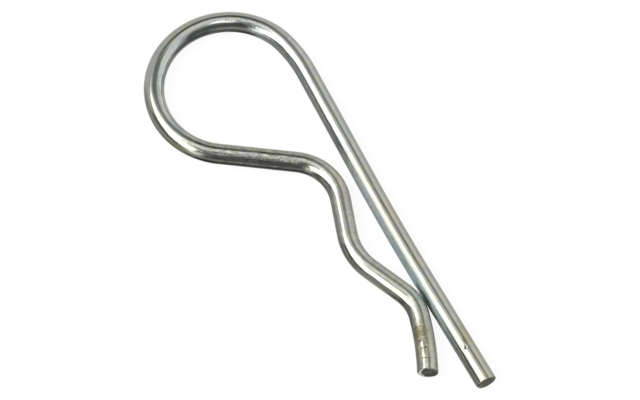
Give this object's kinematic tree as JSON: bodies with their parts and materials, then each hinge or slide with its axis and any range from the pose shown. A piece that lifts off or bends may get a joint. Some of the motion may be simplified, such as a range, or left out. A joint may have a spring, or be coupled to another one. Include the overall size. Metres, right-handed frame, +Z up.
{
  "type": "hitch r clip pin",
  "caption": "Bent spring wire clip: its straight leg goes through a pin's cross hole and its wavy leg snaps round the pin.",
  "frame": {"origin": "on the axis of the pin that the clip holds, at the level of the surface that the clip lies on", "axes": "+X along the straight leg from its tip to the loop, +Y from the straight leg to the wavy leg, +Z up through the wire's thickness, along the held pin's axis"},
  "size_m": [0.0939, 0.0334, 0.004],
  "materials": {
    "zinc_wire": "bright zinc plate on drawn spring wire, lightly scuffed, with drawing lines along the wire"
  },
  "bodies": {
    "root": {"clip": "zinc_wire"}
  },
  "joints": []
}
